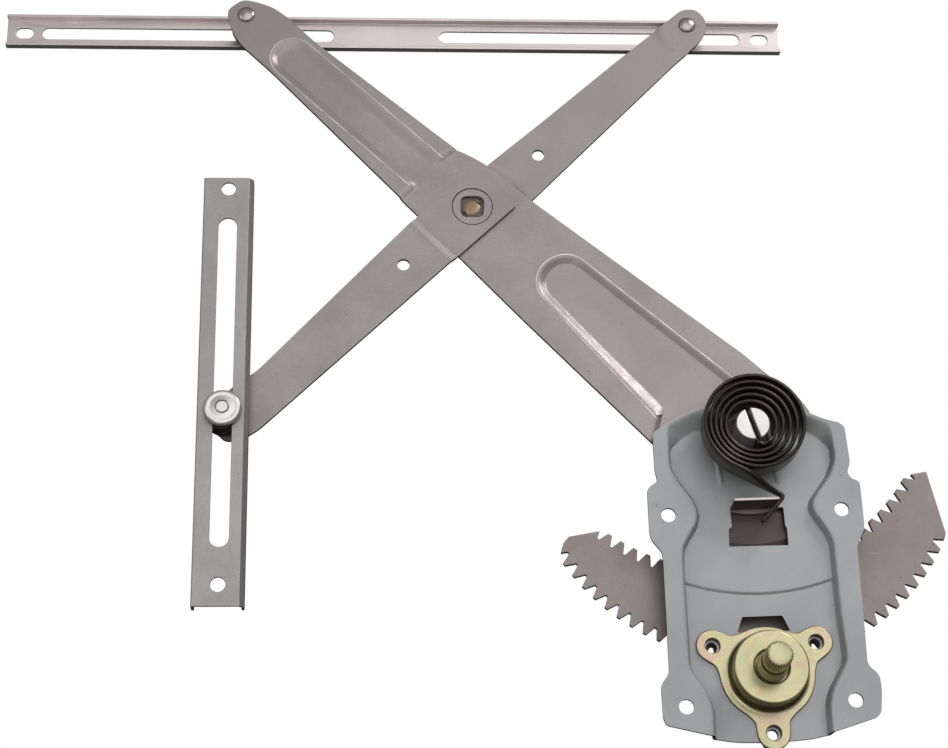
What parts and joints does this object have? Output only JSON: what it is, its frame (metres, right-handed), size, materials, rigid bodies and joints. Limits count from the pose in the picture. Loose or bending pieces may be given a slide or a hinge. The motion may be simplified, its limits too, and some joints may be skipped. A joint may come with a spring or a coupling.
{
  "type": "window regulator",
  "caption": "Cross-arm car window regulator: crank and pinion turn a spring-balanced toothed sector that swings crossed arms between a lift rail and a guide rail.",
  "frame": {"origin": "on the crank's axis at the middle of its serrated end", "axes": "+Z along the crank towards the inside of the car, +X along the lift rail, +Y up the door when the window is up"},
  "size_m": [0.4563, 0.4087, 0.0525],
  "materials": {
    "arm_steel": "satin",
    "rail_steel": "satin",
    "plate_paint": "satin",
    "spring_steel": "oiled",
    "bright_zinc": "bright",
    "yellow_zinc": "satin",
    "black_plastic": "matte",
    "bush_brass": "satin"
  },
  "bodies": {
    "plate": {"base_plate": "plate_paint", "crank_housing": "yellow_zinc", "housing_nuts": "bright_zinc", "pivot_bush": "bright_zinc", "brake_spring": "spring_steel", "counterbalance_spring": "spring_steel"},
    "crank": {"crank_shaft": "yellow_zinc", "pinion_gear": "yellow_zinc", "drive_drum": "yellow_zinc"},
    "lift_arm": {"lift_arm": "arm_steel", "sector_gear": "arm_steel", "sector_rivets": "bright_zinc", "pivot_stud": "bright_zinc", "stud_washer": "bright_zinc", "lift_arm_roller_rivet": "bright_zinc"},
    "balance_arm": {"balance_arm_lower": "arm_steel", "balance_arm_upper": "arm_steel", "centre_bush": "bush_brass", "centre_rivet": "bush_brass", "balance_arm_roller_rivet": "bright_zinc", "guide_pin": "bright_zinc"},
    "lift_roller": {"lift_arm_roller": "black_plastic"},
    "balance_roller": {"balance_arm_roller": "black_plastic"},
    "guide_slider": {"guide_bush": "black_plastic", "guide_washer": "bright_zinc", "guide_cap": "bright_zinc"},
    "lift_rail": {"lift_rail": "rail_steel"},
    "guide_rail": {"guide_rail": "rail_steel"}
  },
  "joints": [
    {"name": "lift_arm_hinge", "type": "hinge", "parent": "plate", "child": "lift_arm", "pos_m": [0.0013, 0.11474, 0], "axis": [0, 0, 1], "range_deg": [-21.5, 36], "deforming": ["counterbalance_spring"]},
    {"name": "crank_spin", "type": "hinge", "parent": "plate", "child": "crank", "pos_m": [0, 0, 0], "axis": [0, 0, 1], "range_deg": [-332, 198.5]},
    {"name": "cross_hinge", "type": "hinge", "parent": "lift_arm", "child": "balance_arm", "pos_m": [-0.12374, 0.24422, 0], "axis": [0, 0, 1], "range_deg": [-72.5, 43.5]},
    {"name": "lift_roller_spin", "type": "hinge", "parent": "lift_arm", "child": "lift_roller", "pos_m": [-0.23488, 0.35932, 0], "axis": [0, 0, 1], "range_deg": [-36.5, 22]},
    {"name": "balance_roller_spin", "type": "hinge", "parent": "balance_arm", "child": "balance_roller", "pos_m": [-0.00483, 0.35129, 0], "axis": [0, 0, 1], "range_deg": [-22, 36.5]},
    {"name": "guide_swivel", "type": "hinge", "parent": "balance_arm", "child": "guide_slider", "pos_m": [-0.24784, 0.13248, 0], "axis": [0, 0, 1], "range_deg": [-22, 36.5]},
    {"name": "lift_rail_slide", "type": "slide", "parent": "lift_roller", "child": "lift_rail", "axis": [0.9994, -0.0349, 0], "range_m": [-0.0412, 0.0688]},
    {"name": "guide_rail_slide", "type": "slide", "parent": "guide_slider", "child": "guide_rail", "axis": [0.0332, 0.9995, 0], "range_m": [-0.096, 0.063]}
  ],
  "couplings": [
    {"joint": "crank_spin", "follows": "lift_arm_hinge", "ratio": -9.2},
    {"joint": "cross_hinge", "follows": "lift_arm_hinge", "ratio": -2},
    {"joint": "lift_roller_spin", "follows": "lift_arm_hinge", "ratio": -1},
    {"joint": "balance_roller_spin", "follows": "lift_arm_hinge", "ratio": 1},
    {"joint": "guide_swivel", "follows": "lift_arm_hinge", "ratio": 1},
    {"joint": "lift_rail_slide", "follows": "lift_arm_hinge", "m_per_rad": 0.10886}
  ]
}
